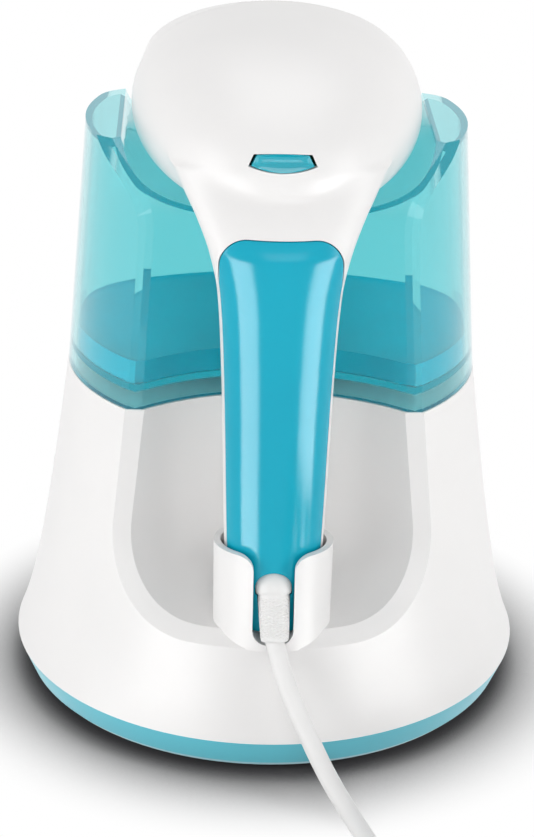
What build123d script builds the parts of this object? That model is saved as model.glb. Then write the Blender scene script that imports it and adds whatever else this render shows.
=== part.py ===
from build123d import *
import math
import os

# Garment steamer parked on its stand. Millimetres, +Z up, origin on the floor under the stand's centre.
# The handle and its cup are at -Y, the steam plate faces +Y.

# Stand
ring_radius = 90.0          # widest radius, at the top of the coloured ring
ring_foot_radius = 86.0
ring_inner_radius = 79.0
ring_bottom = 1.5
ring_top = 13.0
stand_top = 117.0
stand_top_radius = 70.5
stand_mid_radius = 80.8
stand_mid_z = 48.0
stand_wall = 2.6
plate_bottom = 3.0
plate_top = 7.0
plate_gap = 0.3
foot_radius = 7.0
foot_circle = 68.0
boss_radius = 4.5
boss_circle = 62.0
boss_angles = (40, 140, 220, 320)
screw_radius = 1.5
screw_head_radius = 3.0
screw_head_height = 2.0
screw_clearance = 0.15

# Rear recess shared by the stand and the tank
recess_radius = 70.0
recess_wall_y = -35.4       # where the recess wall crosses the centre line
recess_floor = 48.5
recess_round = 30.0
recess_bevel = 4.2

# Tank
tank_gap = 0.4              # between the tank and what it stands on or slides past
tank_floor = 125.5
tank_top = 203.0
tank_top_radius = 64.0
tank_wall = 2.4
tank_front_y = 42.0         # the front wall is set back behind the steam plate
tank_front_radius = 120.0
tank_corner = 12.0
tank_bevel = 3.2            # bevel between the tank's outer wall and its recess
flare_start = 176.0         # where the tank's recess begins to widen towards the top
flare_radius = 95.0         # radius of the recess at the tank's top
bay_half_width = 52.0       # trough that the head lies in
bay_depth = 27.0
bay_centre_z = 207.0
rib_stem_width = 8.0
rib_head_width = 16.0
rib_stem_height = 2.8
rib_head_height = 1.8
rib_back_y = -12.0
rib_front_y = 18.0
port_y = -25.0
port_radius = 4.0
port_sink = 0.6             # how far the port's seat lies below the trough's floor
door_width = 30.0
door_height = 20.0
door_thickness = 2.6
door_centre_z = 160.0
door_pin_radius = 1.2

# Handset
head_half_width = 48.8
head_half_length = 73.0
head_half_height = 29.0
head_centre_y = 5.0
head_centre_z = 207.0
head_tilt = 6.0             # the rear of the head dips towards the handle
head_split_y = 22.0         # joint between the body shell and the front bezel
head_clear_side = 1.4       # head to tank trough
head_clear_under = 5.4
bezel_front_y = 66.0
bezel_half_width = 45.5
bezel_half_height = 20.5
bezel_centre_z = 205.5
bezel_rim = 2.6
shell_wall = 2.2
shell_gap = 0.3
plate_thickness = 3.0
plate_hole_radius = 1.3
plate_hole_count = 14
handle_centre_y = -67.0
handle_bottom = 49.4
# height, half width, half depth and centre of each handle section, from the foot up into the head
handle_sections = (
    (handle_bottom, 15.4, 11.4, handle_centre_y),
    (83.0, 16.6, 12.0, handle_centre_y),
    (140.0, 18.3, 12.8, handle_centre_y),
    (165.0, 19.8, 13.0, handle_centre_y),
    (179.0, 22.8, 13.6, -65.6),
    (188.0, 26.8, 14.2, -59.6),
    (194.0, 30.4, 15.0, -53.6),
    (202.0, 35.0, 16.0, -46.0),
)
handle_steps = 14           # even sections that the handle is lofted through
grip_split_y = -71.0
grip_bottom = 49.4
grip_top = 185.1
grip_corner = 9.0
grip_half_width = 19.4
button_half_width = 10.6
button_height = 5.6
button_depth = 7.0
button_y = -65.6            # where the head's skin crosses the centre line at the button
button_z = 207.2
button_travel = 1.6
button_gap = 0.5
trigger_top = 170.0
trigger_low = 130.0
trigger_width = 11.0
trigger_thickness = 6.0
trigger_reach = 3.2         # how far the trigger stands out of the handle
trigger_pin_radius = 1.2
pin_clearance = 0.15

# Holster cup on the stand
cup_clearance = 1.2
cup_wall = 2.2
cup_rim = 78.2
cup_foot = 44.0
cup_flare = 1.0             # extra reach of the cup at its foot
slot_half_width = 6.8
slot_bottom = 46.5
slot_shoulder = 5.2

# Mains lead
lead_diameter = 6.3
relief_collar_radius = 6.0
relief_start_radius = 5.2
relief_end_radius = 4.5
relief_start = (0.0, -77.0, 65.5)
lead_exit = (0.6, -84.4, 49.0)
lead_points = (
    lead_exit,
    (4.4, -ring_radius - 1.4, 36.6),
    (11.4, -ring_radius - 8.4, 22.6),
    (18.2, -ring_radius - 16.6, 11.0),
    (25.2, -ring_radius - 28.6, 4.4),
    (31.6, -ring_radius - 47.0, 3.3),
    (35.0, -ring_radius - 66.0, 3.5),
    (36.0, -ring_radius - 87.6, 3.95),
    (36.0, -ring_radius - 100.0, 3.95),
)
lead_gap = 0.8              # between the lead and the strain relief that lifts off with the handset
coil_lift = 0.8
coil_gap = 0.6
coil_outer_radius = 46.5
coil_tail = 22.0            # straight stretch from the coil to the plug
coil_half_turns = 7         # half turns of each layer
tie_width = 8.0
tie_thickness = 0.7
tie_gap = 0.7
plug_length = 34.0
plug_width = 26.0
plug_pin_radius = 2.4
plug_pin_length = 19.0
plug_pin_spacing = 19.0

os.makedirs("parts", exist_ok=True)


def save(name, shape):
    shape.label = name
    export_step(shape, f"parts/{name}.step")


def box(x0, x1, y0, y1, z0, z1):
    size = Vector(x1 - x0, y1 - y0, z1 - z0)
    return Pos((x0 + x1) / 2, (y0 + y1) / 2, (z0 + z1) / 2) * Box(size.X, size.Y, size.Z)


def post(x, y, z0, z1, radius):
    return Pos(x, y, (z0 + z1) / 2) * Cylinder(radius, z1 - z0)


def rod(axis, centre, length, radius):
    turn = Rot(0, 90, 0) if axis == "x" else Rot(90, 0, 0)
    return Pos(*centre) * turn * Cylinder(radius, length)


def turned(points):
    return revolve(make_face(Polyline(*[(x, 0, z) for x, z in points], close=True)), Axis.Z)


def around(radius, angles):
    return [(radius * math.cos(math.radians(a)), radius * math.sin(math.radians(a))) for a in angles]


# Recess: a vertical round-ended cutter behind the handle
recess_centre_y = recess_wall_y - recess_radius


def recess_cutter(extra):
    height = tank_top + 40 - recess_floor
    place = Pos(0, recess_centre_y, recess_floor - extra + height / 2)
    body = place * Cylinder(recess_radius + extra, height)
    return fillet(body.edges().group_by(Axis.Z)[0], recess_round + extra)


# Stand shell with its holster cup
def stand_solid(inset):
    low = ring_top if inset == 0 else ring_top - 1
    side = Spline(
        (ring_radius - inset, 0, low),
        (stand_mid_radius - inset, 0, stand_mid_z),
        (stand_top_radius - inset, 0, stand_top - inset),
        tangents=((-0.42, 0, 1), (-0.13, 0, 1)),
    )
    top = side @ 1
    foot = side @ 0
    rest = Polyline(top, (0, 0, top.Z), (0, 0, low), foot)
    return revolve(make_face([side, rest]), Axis.Z)


def oval(half_width, half_depth, y, z):
    return Pos(0, y, z) * Ellipse(half_width, half_depth)


def slopes(column):
    steps = [
        (b[column] - a[column]) / (b[0] - a[0]) for a, b in zip(handle_sections, handle_sections[1:])
    ]
    inner = [2 * a * b / (a + b) if a * b > 0 else 0.0 for a, b in zip(steps, steps[1:])]
    return [steps[0]] + inner + [steps[-1]]


handle_slopes = [slopes(column) for column in range(4)]


def handle_size(column, z):
    last = len(handle_sections) - 2
    k = min(last, max(0, sum(row[0] <= z for row in handle_sections) - 1))
    low, high = handle_sections[k], handle_sections[k + 1]
    span = high[0] - low[0]
    t = (z - low[0]) / span
    start, end = handle_slopes[column][k] * span, handle_slopes[column][k + 1] * span
    rise = t ** 3 - 2 * t ** 2 + t
    fall = t ** 3 - t ** 2
    blend = 3 * t ** 2 - 2 * t ** 3
    return low[column] * (1 - blend) + high[column] * blend + rise * start + fall * end


def handle_oval(extra, z):
    return oval(handle_size(1, z) + extra, handle_size(2, z) + extra, handle_size(3, z), z)


def handle_solid(extra, low, high):
    foot, head = handle_sections[0][0], handle_sections[-1][0]
    heights = [foot + (head - foot) * k / handle_steps for k in range(handle_steps + 1)]
    solid = loft([handle_oval(extra, z) for z in heights])
    return solid & box(-90, 90, -150, 60, low, high)


def cup_oval(extra, z):
    return handle_oval(cup_clearance + extra, z)


stand_outer = stand_solid(0)
stand_body = stand_outer - recess_cutter(0)
rim_edges = [e for e in stand_body.edges().filter_by(GeomType.BSPLINE) if e.center().Y < recess_wall_y]
stand_body = chamfer(rim_edges, recess_bevel)
stand_room = stand_solid(stand_wall) - recess_cutter(stand_wall)
stand_body = stand_body - stand_room
cup_outer = loft([cup_oval(cup_wall + cup_flare, cup_foot), cup_oval(cup_wall, cup_rim)])
cup_inner = loft([cup_oval(0, cup_foot), cup_oval(0, cup_rim)])
cup_inner = cup_inner + extrude(cup_oval(0, cup_rim), 10)
cup_slot = box(-slot_half_width, slot_half_width, -120, handle_centre_y - 6, slot_bottom, cup_rim + 10)
cup_slot = fillet(cup_slot.edges().filter_by(Axis.Y).group_by(Axis.Z)[0], slot_half_width * 0.7)
for side in (-1, 1):
    shoulder_x = side * (slot_half_width + slot_shoulder)
    inner_x = side * slot_half_width
    shoulder = box(
        min(inner_x, shoulder_x), max(inner_x, shoulder_x), -120, handle_centre_y - 6,
        cup_rim - slot_shoulder, cup_rim + 10,
    )
    cup_slot = cup_slot + (shoulder - rod("y", (shoulder_x, -95, cup_rim - slot_shoulder), 80, slot_shoulder))
cup_room = cup_inner & box(-60, 60, -150, 60, recess_floor, cup_rim + 10)
stand_shell = stand_body + (cup_outer - stand_room)
stand_shell = stand_shell - cup_room - cup_slot
for x, y in around(boss_circle, boss_angles):
    boss = post(x, y, plate_top, stand_top - stand_wall / 2, boss_radius)
    stand_shell = stand_shell + (boss - post(x, y, 0, 30, screw_radius + screw_clearance))
save("stand_shell", stand_shell)

ring_face = [
    (ring_inner_radius, ring_bottom), (ring_foot_radius - 2, ring_bottom),
    (ring_foot_radius, ring_bottom + 2), (ring_radius, ring_top), (ring_inner_radius, ring_top),
]
save("base_ring", turned(ring_face))

plate_radius = ring_inner_radius - plate_gap
bottom_plate = Pos(0, 0, (plate_bottom + plate_top) / 2) * Cylinder(plate_radius, plate_top - plate_bottom)
screws = []
for x, y in around(boss_circle, boss_angles):
    bottom_plate = bottom_plate - post(x, y, 0, 20, screw_radius + screw_clearance)
    head_room = post(x, y, 0, plate_bottom + screw_head_height, screw_head_radius + screw_clearance)
    bottom_plate = bottom_plate - head_room
    shank = post(x, y, plate_bottom + screw_head_height, 20, screw_radius)
    screws.append(shank + post(x, y, plate_bottom, plate_bottom + screw_head_height, screw_head_radius))
save("bottom_plate", bottom_plate)
save("stand_screws", Compound(children=screws))
feet_angles = (0, 90, 180, 270)
feet = [post(x, y, 0, plate_bottom, foot_radius) for x, y in around(foot_circle, feet_angles)]
save("rubber_feet", Compound(children=feet))


# Tank: a round vessel with the recess behind, which widens towards the top, and a trough for the head
def flare_cutter(extra):
    side = Spline(
        (recess_radius + extra, 0, flare_start), (flare_radius + extra, 0, tank_top),
        tangents=((0, 0, 1), (0.85, 0, 0.5)),
    )
    above = tank_top + 40
    rest = Polyline(
        side @ 1, (flare_radius + extra, 0, above), (0, 0, above), (0, 0, flare_start), side @ 0,
    )
    return Pos(0, recess_centre_y, 0) * revolve(make_face([side, rest]), Axis.Z)


def tank_block(inset, low, high):
    slope = (tank_top_radius - stand_top_radius) / (tank_top - stand_top)
    low_radius = stand_top_radius + slope * (low - stand_top) - inset
    high_radius = stand_top_radius + slope * (high - stand_top) - inset
    block = turned([(0, low), (low_radius, low), (high_radius, high), (0, high)])
    block = block & post(0, tank_front_y - tank_front_radius, low - 1, high + 1, tank_front_radius - inset)
    corners = [e for e in block.edges() if abs((e @ 0).Z - (e @ 1).Z) > 5 and abs(e.center().X) > 20]
    block = fillet(corners, tank_corner - inset)
    return block - recess_cutter(inset) - flare_cutter(inset)


def bay(extra):
    section = Ellipse(bay_half_width + extra, bay_depth + extra)
    trough = Pos(0, 0, bay_centre_z) * Rot(90, 0, 0) * extrude(section, 100, both=True)
    half_width = bay_half_width + extra
    return trough + box(-half_width, half_width, -100, 100, bay_centre_z, tank_top + 60)


tank_low = stand_top + tank_gap
tank_outer = tank_block(0, tank_low, tank_top)
rear_edges = [
    e for e in tank_outer.edges()
    if abs((e @ 0).Z - (e @ 1).Z) > 5 and e.center().Y < recess_wall_y and abs(e.center().X) > 20
]
tank_outer = chamfer(rear_edges, tank_bevel) - bay(0)
skirt_room = tank_block(tank_wall, tank_low, tank_floor - tank_wall)
tank_room = tank_block(tank_wall, tank_floor, tank_top - tank_wall) - bay(tank_wall)
tank_shell = tank_outer - skirt_room - tank_room
bay_floor = bay_centre_z - bay_depth
rib_low = bay_floor + rib_stem_height
rib_high = rib_low + rib_head_height
rib_stem = box(-rib_stem_width / 2, rib_stem_width / 2, rib_back_y, rib_front_y, bay_floor - 1, rib_low)
rib_head = box(-rib_head_width / 2, rib_head_width / 2, rib_back_y, rib_front_y, rib_low, rib_high)
tank_shell = tank_shell + rib_stem + rib_head
port_top = bay_floor - port_sink
tank_shell = tank_shell - post(0, port_y, port_top, port_top + 4, port_radius + 3.2)
tank_shell = tank_shell - post(0, port_y, bay_floor - 6, port_top + 4, port_radius)

# Filler door on the tank's front wall, on a flat boss
door_face_y = tank_front_y + 0.6
door_low = door_centre_z - door_height / 2
door_high = door_centre_z + door_height / 2
mouth_width = door_width - 9
mouth_height = door_height - 9
door_boss = box(-door_width / 2, door_width / 2, tank_front_y - 12, door_face_y, door_low - 6, door_high)
mouth_low = door_centre_z - mouth_height / 2
mouth_high = door_centre_z + mouth_height / 2
mouth = box(-mouth_width / 2, mouth_width / 2, 20, door_face_y + 5, mouth_low, mouth_high)
pin_y = door_face_y + door_pin_radius + 1.4
pin_z = door_low - 2.6
knuckle_radius = door_pin_radius + 1.3
knuckle_half = 3.0
boss_depth = 6.0            # how far the door's boss reaches in past the tank's wall
tank_shell = tank_shell + (door_boss - tank_block(tank_wall + boss_depth, tank_floor, tank_top - 20))
for end in (-1, 1):
    x = end * (door_width / 2 - knuckle_half)
    web = box(x - knuckle_half, x + knuckle_half, door_face_y - 2, pin_y, pin_z - knuckle_radius, pin_z)
    tank_shell = tank_shell + web + rod("x", (x, pin_y, pin_z), 2 * knuckle_half, knuckle_radius)
pin_hole = rod("x", (0, pin_y, pin_z), door_width + 20, door_pin_radius + pin_clearance)
tank_shell = tank_shell - mouth - pin_hole
save("tank_shell", tank_shell)

door_y = door_face_y + 0.7
door = box(-door_width / 2, door_width / 2, door_y, door_y + door_thickness, door_low, door_high)
door = fillet(door.edges().filter_by(Axis.Y).group_by(Axis.Z)[1], 4)
leaf_half = door_width / 2 - 2 * knuckle_half - 0.6
leaf = box(-leaf_half, leaf_half, door_y, door_y + door_thickness, pin_z, door_low + 1)
door = door + leaf + rod("x", (0, pin_y, pin_z), 2 * leaf_half, knuckle_radius)
door = door + box(-5, 5, door_y + 1, door_y + door_thickness + 2, door_high - 4, door_high - 1.5)
door = door - pin_hole
save("filler_door", door)
save("door_pin", rod("x", (0, pin_y, pin_z), door_width, door_pin_radius))
seal_plug = box(
    -mouth_width / 2 + 1, mouth_width / 2 - 1, door_face_y - 1.2, door_y,
    mouth_low + 1, mouth_high - 1,
)
save("door_seal", fillet(seal_plug.edges().filter_by(Axis.Y), 2))
seal_top = port_top + 1.0
port_seal = post(0, port_y, port_top, seal_top, port_radius + 2.6)
save("port_seal", port_seal - post(0, port_y, 0, 300, port_radius - 1.0))
pickup_radius = port_radius - 0.8
pickup_low = tank_floor + 9
pickup = post(0, port_y, pickup_low, port_top, pickup_radius)
pickup = pickup + post(0, port_y, port_top - 1.2, port_top, port_radius)
save("pickup_tube", pickup - post(0, port_y, 0, 300, pickup_radius - 1.2))
filter_cup = post(0, port_y, tank_floor + 1, pickup_low + 5, pickup_radius + 3)
filter_cup = filter_cup - post(0, port_y, tank_floor + 2.2, pickup_low + 2, pickup_radius + 1.8)
filter_cup = filter_cup - post(0, port_y, pickup_low - 1, 300, pickup_radius)
save("pickup_filter", filter_cup)


# Dock in the head's underside, a channel round the tank's rib
dock_gap = 0.4
dock_wall = 2.0
dock_lip = 1.2
dock_back = rib_back_y - 6
dock_half = rib_head_width / 2 + dock_gap + dock_wall
dock_high = rib_high + dock_gap + dock_wall
dock_hole = box(
    -dock_half - shell_gap, dock_half + shell_gap, dock_back - shell_gap, rib_front_y + shell_gap,
    rib_low - 5, dock_high + shell_gap,
)
inlet_radius = 4.6
inlet_low = seal_top + tank_gap
inlet_high = 200.0
inlet_hole = post(0, port_y, inlet_low - 5, inlet_low + 12, inlet_radius + shell_gap)


# Handset outer form: a domed oval head that runs into a handle
def head_dome(inset):
    ball = scale(
        Sphere(1),
        by=(head_half_width - inset, head_half_length - inset, head_half_height - inset),
    )
    return Pos(0, head_centre_y, head_centre_z) * Rot(head_tilt, 0, 0) * ball


def head_under(extra):
    half_width = bay_half_width - head_clear_side - extra
    half_height = bay_depth - head_clear_under - extra
    section = Ellipse(half_width, half_height)
    trough = Pos(0, 0, bay_centre_z) * Rot(90, 0, 0) * extrude(section, 120, both=True)
    return trough + box(-80, 80, -120, 120, bay_centre_z, 300)


def split_oval(inset):
    ahead = head_split_y - head_centre_y
    tilt = math.radians(head_tilt)
    reach = (head_half_length * math.cos(tilt)) ** 2 + (head_half_height * math.sin(tilt)) ** 2
    share = math.sqrt(1 - ahead ** 2 / reach)
    rise = (head_half_length ** 2 - head_half_height ** 2) * math.sin(tilt) * math.cos(tilt) / reach
    half_height = head_half_height * head_half_length / math.sqrt(reach) * share
    shape = Ellipse(head_half_width * share - inset, half_height - inset)
    centre = (0, head_split_y, head_centre_z + ahead * rise)
    return Plane(origin=centre, x_dir=(1, 0, 0), z_dir=(0, 1, 0)) * shape


def front_oval(inset, y):
    shape = Ellipse(bezel_half_width - inset, bezel_half_height - inset)
    return Plane(origin=(0, y, bezel_centre_z), x_dir=(1, 0, 0), z_dir=(0, 1, 0)) * shape


behind_split = box(-90, 90, -120, head_split_y, 120, 300)
high_section = handle_sections[-1][0]


def handset_form(inset):
    head = (head_dome(inset) & head_under(inset)) & behind_split
    return head + handle_solid(-inset, handle_bottom + inset, high_section)


relief_axis = Vector(*lead_exit) - Vector(*relief_start)


def relief_part(start_radius, end_radius, share0, share1):
    start = Vector(*relief_start) + relief_axis * share0
    plane = Plane(origin=start, z_dir=relief_axis)
    length = relief_axis.length * (share1 - share0)
    return plane * Pos(0, 0, length / 2) * Cone(start_radius, end_radius, length)


handset_outer = handset_form(0)
handset_inner = handset_form(shell_wall)
grip_block = box(-grip_half_width, grip_half_width, -120, grip_split_y, grip_bottom, grip_top)
grip_block = fillet(grip_block.edges().filter_by(Axis.Y).group_by(Axis.Z)[1], grip_corner)
grip_room = box(
    -grip_half_width - shell_gap, grip_half_width + shell_gap, -120, grip_split_y + shell_gap,
    grip_bottom - shell_gap, grip_top + shell_gap,
)
grip_room = fillet(grip_room.edges().filter_by(Axis.Y).group_by(Axis.Z)[1], grip_corner + shell_gap)
relief_hole = relief_part(relief_collar_radius + shell_gap, relief_start_radius + shell_gap, -0.3, 1.2)
relief_hole = relief_hole + Pos(*relief_start) * Sphere(relief_collar_radius + shell_gap)
button_room = box(
    -button_half_width - button_gap, button_half_width + button_gap, button_y - 10, button_y + 9,
    button_z - button_height / 2 - button_gap, button_z + button_height / 2 + button_gap,
)
trigger_room = box(
    -trigger_width / 2 - shell_gap, trigger_width / 2 + shell_gap, handle_centre_y + 5, -40,
    trigger_low - 1.0, trigger_top - 0.5,
)
grip_screw_heights = (76.0, 124.0)
body_shell = handset_outer - handset_inner - grip_room - relief_hole - button_room - trigger_room
body_shell = body_shell - dock_hole - inlet_hole
for z in grip_screw_heights:
    body_shell = body_shell - rod("y", (0, handle_centre_y + 10, z), 16, screw_radius + screw_clearance)
trigger_front = handle_centre_y + handle_size(2, (trigger_low + trigger_top) / 2) + trigger_reach
trigger_back = trigger_front - trigger_thickness - trigger_reach
trigger_pin_y = trigger_back + 3.0
trigger_pin_z = trigger_top - 5.0
pin_place = (0, trigger_pin_y, trigger_pin_z)
body_shell = body_shell - rod("x", pin_place, trigger_width + 9, trigger_pin_radius + pin_clearance)
save("body_shell", body_shell)

grip_cover = (handset_outer - handset_inner) & grip_block
boss_front_y = handle_centre_y - 1
grip_boss_radius = 3.2
for z in grip_screw_heights:
    back_y = handle_centre_y - handle_size(2, z)
    boss = rod("y", (0, (boss_front_y + back_y) / 2, z), boss_front_y - back_y, grip_boss_radius)
    grip_cover = grip_cover + (boss & handset_inner)
    grip_cover = grip_cover - rod("y", (0, boss_front_y, z), 12, screw_radius + screw_clearance)
save("grip_cover", grip_cover - relief_hole)

grip_screws = []
for z in grip_screw_heights:
    face_y = handle_centre_y + 11.5
    tip_y = boss_front_y - 4.5
    grip_screws.append(rod("y", (0, (face_y + tip_y) / 2, z), face_y - tip_y, screw_radius))
save("grip_screws", Compound(children=grip_screws))

# Front bezel, steam plate and what lies behind it
under = head_under(0)
bezel_start = head_split_y + shell_gap
bezel_outer = loft([split_oval(0), front_oval(0, bezel_front_y)]) & under
bezel_outer = bezel_outer & box(-90, 90, bezel_start, bezel_front_y, 120, 300)
bezel_inner = loft([split_oval(shell_wall), front_oval(shell_wall, bezel_front_y + 0.01)])
save("plate_bezel", bezel_outer - (bezel_inner & head_under(shell_wall)))

plate_low_z = bay_centre_z - (bay_depth - head_clear_under) + shell_wall + shell_gap
plate_face = front_oval(bezel_rim, bezel_front_y)
plate_cut = box(-90, 90, 0, 120, plate_low_z, 300)
steam_plate = extrude(plate_face, plate_thickness, dir=(0, 1, 0)) & plate_cut
steam_plate = Pos(0, -1.0, 0) * steam_plate
hole_places = [
    (0.62 * (bezel_half_width - bezel_rim) * math.cos(2 * math.pi * k / plate_hole_count),
     0.58 * (bezel_half_height - bezel_rim) * math.sin(2 * math.pi * k / plate_hole_count))
    for k in range(plate_hole_count)
]
for x, dz in hole_places:
    steam_plate = steam_plate - rod("y", (x, bezel_front_y, bezel_centre_z + dz), 20, plate_hole_radius)
save("steam_plate", steam_plate)

chamber_front = bezel_front_y - 1.0
chamber_back = chamber_front - 15
chamber_half_width = 35.0
chamber_half_height = 13.5


def chamber_block(inset, y0, y1):
    shape = Ellipse(chamber_half_width - inset, chamber_half_height - inset)
    plane = Plane(origin=(0, y0, bezel_centre_z), x_dir=(1, 0, 0), z_dir=(0, 1, 0))
    return extrude(plane * shape, y1 - y0, dir=(0, 1, 0))


chamber = chamber_block(0, chamber_back, chamber_front) - chamber_block(4, chamber_back + 5, chamber_front)
save("steam_chamber", chamber)
save("chamber_gasket", chamber_block(1, chamber_back - 1.2, chamber_back))
cover_back = chamber_back - 4.2
save("chamber_cover", chamber_block(0, cover_back, chamber_back - 1.2))
element_radius = 3.0
element_y = cover_back - element_radius - 0.4
element_reach = 26.0
element_low = bezel_centre_z - 6
element_high = bezel_centre_z + 6
element_path = FilletPolyline(
    (-element_reach, element_y, element_low), (element_reach, element_y, element_low),
    (element_reach, element_y, element_high), (-element_reach, element_y, element_high), radius=5.9,
)
element_start = Plane(origin=element_path @ 0, z_dir=element_path % 0)
element = sweep(element_start * Circle(element_radius), path=element_path)
save("heating_element", element)
save("thermostat", rod("y", (-12, element_y - element_radius - 3.4, bezel_centre_z), 6, 8))
save("thermal_fuse", rod("x", (23, element_y - element_radius - 3.0, bezel_centre_z), 16, 2.4))

# Thumb button with its rubber dome, switch and lamp board
button = box(
    -button_half_width, button_half_width, button_y - 2.0, button_y + button_depth - 2.0,
    button_z - button_height / 2, button_z + button_height / 2,
)
button = fillet(button.edges().filter_by(Axis.Y), 2.4)
dish = rod("x", (0, button_y - 17.6, button_z), 60, 16.6)
button = button - dish
save("power_button", button)
dome_front = button_y + button_depth - 2.0 + button_travel + 0.3
dome = rod("y", (0, dome_front + 1.2, button_z), 2.4, 3.4)
save("button_dome", dome)
switch_half = 3.5
save("button_switch", box(
    -switch_half, switch_half, dome_front + 2.4, dome_front + 6.4,
    button_z - switch_half, button_z + switch_half,
))
save("lamp_board", box(-13, 13, dome_front + 6.4, dome_front + 8, button_z - 6, button_z + 6))

# Steam trigger on the finger side of the handle
trigger = box(
    -trigger_width / 2, trigger_width / 2, trigger_back, trigger_front, trigger_low, trigger_top - 1.5,
)
trigger = fillet(trigger.edges().filter_by(Axis.X).group_by(Axis.Y)[-1], 2.8)
trigger = trigger - rod("x", pin_place, 40, trigger_pin_radius + pin_clearance)
save("steam_trigger", trigger)
save("trigger_pin", rod("x", pin_place, trigger_width + 8, trigger_pin_radius))
switch_front = trigger_back - 4.2
save("steam_switch", box(-4, 4, switch_front - 6, switch_front, trigger_low + 2, trigger_low + 15))

# Pump, tubes and the dock that the tank hangs in
pump_radius = 7.8
pump_low = 84.0
pump_high = 116.0
pump_y = handle_centre_y + 0.5
save("water_pump", post(0, pump_y, pump_low, pump_high, pump_radius))
tube_radius = 2.2
dock_block = box(-dock_half, dock_half, dock_back, rib_front_y, rib_low - dock_gap - dock_lip, dock_high)
dock_room = box(
    -dock_half + dock_wall, dock_half - dock_wall, rib_back_y - dock_gap, rib_front_y + 5,
    rib_low - dock_gap, rib_high + dock_gap,
)
dock_stem = box(
    -rib_stem_width / 2 - dock_gap, rib_stem_width / 2 + dock_gap, rib_back_y - dock_gap, rib_front_y + 5,
    0, rib_low,
)
tank_dock = dock_block - dock_room - dock_stem
save("tank_dock", tank_dock)
inlet = post(0, port_y, inlet_low, inlet_high, inlet_radius)
save("water_inlet", inlet - post(0, port_y, inlet_low, inlet_high - 2, tube_radius))


def tube(points, radius, bend):
    path = FilletPolyline(*points, radius=bend)
    return sweep(Plane(origin=path @ 0, z_dir=path % 0) * Circle(radius), path=path)


tube_bend = 6.0
tube_x = 8.5
tube_start = pump_radius - tube_radius
suction = (
    (-tube_start, pump_y, pump_high + 0.2), (-tube_start, pump_y, pump_high + 12),
    (-tube_x, pump_y, pump_high + 22), (-tube_x, pump_y, 178), (-6, -54, 195),
    (0, port_y - inlet_radius - 0.6, 197),
)
save("suction_tube", tube(suction, tube_radius, tube_bend))
delivery = (
    (tube_start, pump_y, pump_high + 0.2), (tube_start, pump_y, pump_high + 12),
    (tube_x, pump_y, pump_high + 22), (tube_x, pump_y, 178), (10, -54, 195), (9, 0, 198),
    (8, 24, bezel_centre_z), (8, cover_back - 0.2, bezel_centre_z),
)
save("delivery_tube", tube(delivery, tube_radius, tube_bend))

save("lead_clamp", box(-7, 7, handle_centre_y - 3, handle_centre_y + 4, 58, 66))

# Strain relief: a ball collar and a tapered sleeve
relief = Pos(*relief_start) * Sphere(relief_collar_radius)
relief = relief + relief_part(relief_start_radius, relief_end_radius, 0, 1)
save("strain_relief", relief)


# Mains lead: straight runs joined by large arcs
def route_radii(points):
    radii = []
    for before, here, after in zip(points, points[1:], points[2:]):
        first = Vector(*here) - Vector(*before)
        second = Vector(*after) - Vector(*here)
        turn = math.radians(first.get_angle(second))
        radii.append(0.45 * min(first.length, second.length) / math.tan(turn / 2))
    return radii


relief_dir = relief_axis.normalized()
lead_start = Vector(*lead_exit) + relief_dir * lead_gap
route = [tuple(lead_start)] + [tuple(Vector(*p)) for p in lead_points[1:]]
radii = route_radii(route)
print("lead radii", [round(r, 1) for r in radii])
lead_path = FilletPolyline(*route, radius=radii)
lead_section = Plane(origin=lead_path @ 0, z_dir=lead_path % 0) * Circle(lead_diameter / 2)
lead = sweep(lead_section, path=lead_path)
lead_area = math.pi * lead_diameter ** 2 / 4
lead_ratio = lead.volume / (lead_area * lead_path.length)
print("lead length", round(lead_path.length, 1), "volume ratio", round(lead_ratio, 4))
save("mains_lead", lead)

# Coil: half circles that step in, climb one layer in a half turn, and step out again
coil_pitch = lead_diameter + coil_gap
layer_low = lead_diameter / 2 + coil_lift
layer_high = layer_low + lead_diameter + coil_gap
route_end = Vector(*lead_points[-1])
coil_x = route_end.X + coil_outer_radius
coil_y = route_end.Y - lead_diameter
edges = [Line(route_end, (route_end.X, coil_y, layer_low))]
x = route_end.X
side = 1
radius = coil_outer_radius


def half_turn(x, z, radius, side):
    reach = x + 2 * radius * side
    middle = ((x + reach) / 2, coil_y - radius * side, z)
    return ThreePointArc((x, coil_y, z), middle, (reach, coil_y, z)), reach


for k in range(coil_half_turns):
    arc, x = half_turn(x, layer_low, radius, side)
    edges.append(arc)
    radius = radius - coil_pitch / 2
    side = -side
climb_radius = radius
climb_end = x + 2 * climb_radius * side
slant = math.sqrt(climb_radius ** 2 + ((layer_high - layer_low) / 2) ** 2)
middle = Vector((x + climb_end) / 2, coil_y - slant * side, (layer_low + layer_high) / 2)
edges.append(TangentArc((x, coil_y, layer_low), tuple(middle), tangent=(0, -side, 0)))
edges.append(TangentArc(tuple(middle), (climb_end, coil_y, layer_high), tangent=edges[-1] % 1))
x = climb_end
side = -side
radius = climb_radius + coil_pitch / 2
for k in range(coil_half_turns):
    arc, x = half_turn(x, layer_high, radius, side)
    edges.append(arc)
    radius = radius + coil_pitch / 2
    side = -side
coil_end = Vector(x, coil_y, layer_high)
end_run = Vector(0, -side * coil_tail, 0)
edges.append(Line(coil_end, coil_end + end_run))
coil_path = Wire(edges)
coil = sweep(Plane(origin=route_end, z_dir=(0, -1, 0)) * Circle(lead_diameter / 2), path=coil_path)
coil_ratio = coil.volume / (lead_area * coil_path.length)
print("coil length", round(coil_path.length, 1), "volume ratio", round(coil_ratio, 4))
save("lead_coil", coil)
samples = [coil_path @ (k / 1200) for k in range(1201)]
spacing = coil_path.length / 1200
apart = int(3 * lead_diameter / spacing)
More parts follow.
